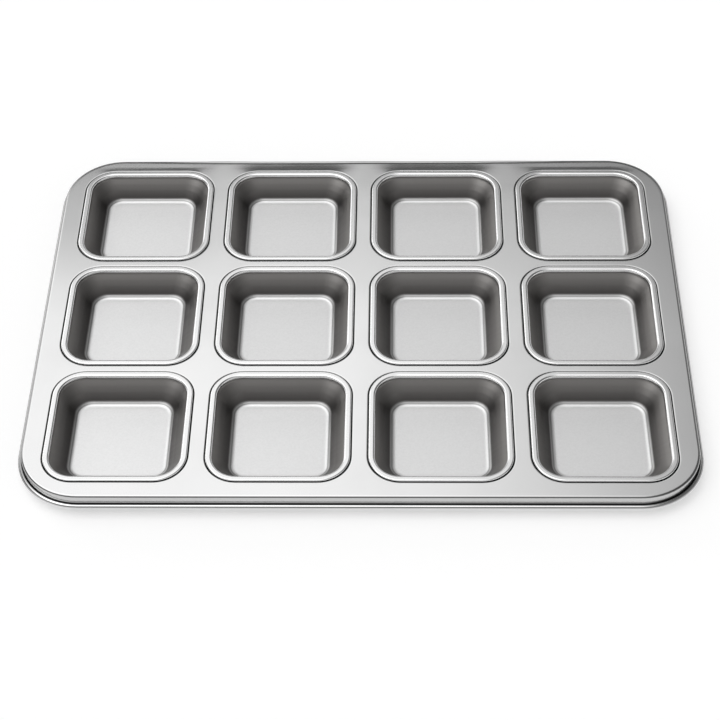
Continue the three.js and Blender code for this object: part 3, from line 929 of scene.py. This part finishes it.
# %% Places on the ceiling
LOWEST = 0.05  # keeps the division from running away at the horizon
KNEE = -0.25  # metres east
LEAN = 0.6  # metres to the back for each metre past the knee
world = bpy.data.worlds.new("overhead_diffuser")
bpy.context.scene.world = world
world.use_nodes = True
tree = world.node_tree
direction = add(tree, "ShaderNodeTexCoord").outputs["Generated"]
way = add(tree, "ShaderNodeSeparateXYZ", {0: direction}).outputs
rise = add(tree, "ShaderNodeMath", {0: way["Z"], 1: LOWEST}, operation="MAXIMUM")
east = add(tree, "ShaderNodeMath", {0: way["X"], 1: rise}, operation="DIVIDE")
north = add(tree, "ShaderNodeMath", {0: way["Y"], 1: rise}, operation="DIVIDE")
past_knee = add(tree, "ShaderNodeMath", {0: east, 1: KNEE}, operation="SUBTRACT")
past_knee = add(tree, "ShaderNodeMath", {0: past_knee, 1: 0}, operation="MINIMUM")
slanted = add(tree, "ShaderNodeMath", {0: past_knee, 1: LEAN, 2: north}, operation="MULTIPLY_ADD")
print("ceiling", len(tree.nodes), "nodes")

# %% [markdown]
# ## The panel
# Each light is the product of a few soft edges. A row below says which way a step runs, where it
# starts and ends in metres on the ceiling, and the strength before and after it. The plate mirrors
# the part of the panel between 0.8 and 1.15 m to the back, so the steps there draw its shades, and
# the satin floors of the cups gather the rest.

# %% The panel
FAR_CORNER = (-0.28, -0.14)  # metres east, over which the left corner of the far part ends
FAR_STRENGTH = (0.43, 0.72)  # of the far part, in its left corner and to the right of it


def soft_light(tree, *edges):
    light = 1
    for side, start, end, before, after in edges:
        edge = add(tree, "ShaderNodeMapRange", {
            "Value": side, "From Min": start, "From Max": end, "To Min": before, "To Max": after,
        }, interpolation_type="SMOOTHSTEP")
        light = add(tree, "ShaderNodeMath", {0: light, 1: edge}, operation="MULTIPLY")
    return light


corner = add(tree, "ShaderNodeMapRange", {
    "Value": east, "From Min": FAR_CORNER[0], "From Max": FAR_CORNER[1],
    "To Min": FAR_STRENGTH[0], "To Max": FAR_STRENGTH[1]})
panel = soft_light(
    tree,
    (east, -0.1, 0.45, 1, 0),  # fades out to the right
    (east, -1.7, -0.5, 0, 1),  # left end
    (east, -0.5, -0.28, 1.25, 1),  # brighter towards the left end
    (north, 0.1, 0.8, 1.8, 1.1),  # brightest overhead
    (slanted, 0.975, 1.03, 1, corner),  # dimmer far part, most of all in its left corner
    (north, 1.05, 1.1, 1, 1.12),  # a little brighter again beyond
    (slanted, 1.12, 1.155, 1, 0),  # far end
    (north, -0.6, -0.5, 0, 1),  # near end
)
print("panel up to node", len(tree.nodes))

# %% [markdown]
# ## The rest of the room
# Four weaker lights finish the picture: a pale wall in front of the pan for the skirt to mirror, a
# window behind it that is brighter on the left and catches on the lips, a strip of white paper
# along the horizon, and a dusk that is never quite black. Window and paper also have edges in the
# direction itself, sideways and in height. All four add up with the panel to the strength of the
# world's background.

# %% The rest of the room
HORIZON = (0.14, 0.165)  # height where the paper ends and the window begins
DUSK = 0.07
DUSK_AT_THE_SIDES = 0.2
front_wall = soft_light(tree, (north, -0.9, -0.2, 0.46, 0))
window = soft_light(
    tree,
    (north, 1.45, 1.7, 0, 1),  # lies far to the back
    (way["X"], -0.75, -0.25, 2.2, 0.4),  # brighter on the left
    (way["Z"], *HORIZON, 0, 1),  # stays above the paper
)
paper_wall = soft_light(tree, (way["Z"], *HORIZON, 0.9, 0))
sides = add(tree, "ShaderNodeMath", {0: way["X"], 1: 2}, operation="POWER")
dusk = add(tree, "ShaderNodeMath", {
    0: sides, 1: DUSK_AT_THE_SIDES, 2: DUSK}, operation="MULTIPLY_ADD")
total = panel
for light in (front_wall, window, paper_wall, dusk):
    total = add(tree, "ShaderNodeMath", {0: total, 1: light}, operation="ADD")
background = tree.nodes["Background"]
background.inputs["Color"].default_value = (1, 1, 1, 1)
tree.links.new(total.outputs[0], background.inputs["Strength"])
print(world.name, len(tree.nodes), "nodes")

# %% [markdown]
# ## The camera
# The picture is taken from the front, about halfway between level and straight down, with a long
# lens that keeps the pan's sides nearly parallel. A Track To constraint could aim the camera, but
# it would hide the small roll of the picture, so the camera's three directions are worked out here
# and put into its matrix.

# %% Camera
TARGET = Vector((-0.67, -38.28, PLATE_TOP)) * MM  # the point in the middle of the picture
DISTANCE = 1121.15 * MM
ELEVATION = math.radians(47.508)
TURN = math.radians(1.777)
ROLL = math.radians(-1.323)
LENS = 92.455  # mm
SENSOR = 36  # mm
level = math.cos(ELEVATION)
back = Vector((math.sin(TURN) * level, -math.cos(TURN) * level, math.sin(ELEVATION)))
across = Vector((math.cos(TURN), math.sin(TURN), 0))
up = back.cross(across)
rolled_across = across * math.cos(ROLL) + up * math.sin(ROLL)
rolled_up = up * math.cos(ROLL) - across * math.sin(ROLL)
camera = bpy.data.objects.new("photo_camera", bpy.data.cameras.new("photo_camera"))
camera.data.lens = LENS
camera.data.sensor_width = SENSOR
facing = Matrix((rolled_across, rolled_up, back)).transposed().to_4x4()
camera.matrix_world = Matrix.Translation(TARGET + back * DISTANCE) @ facing
bpy.context.scene.collection.objects.link(camera)
bpy.context.scene.camera = camera
bpy.context.scene.view_settings.view_transform = "Standard"
wide = round(math.degrees(camera.data.angle), 1)
print("camera", wide, "degrees wide,", round(DISTANCE, 2), "m away")
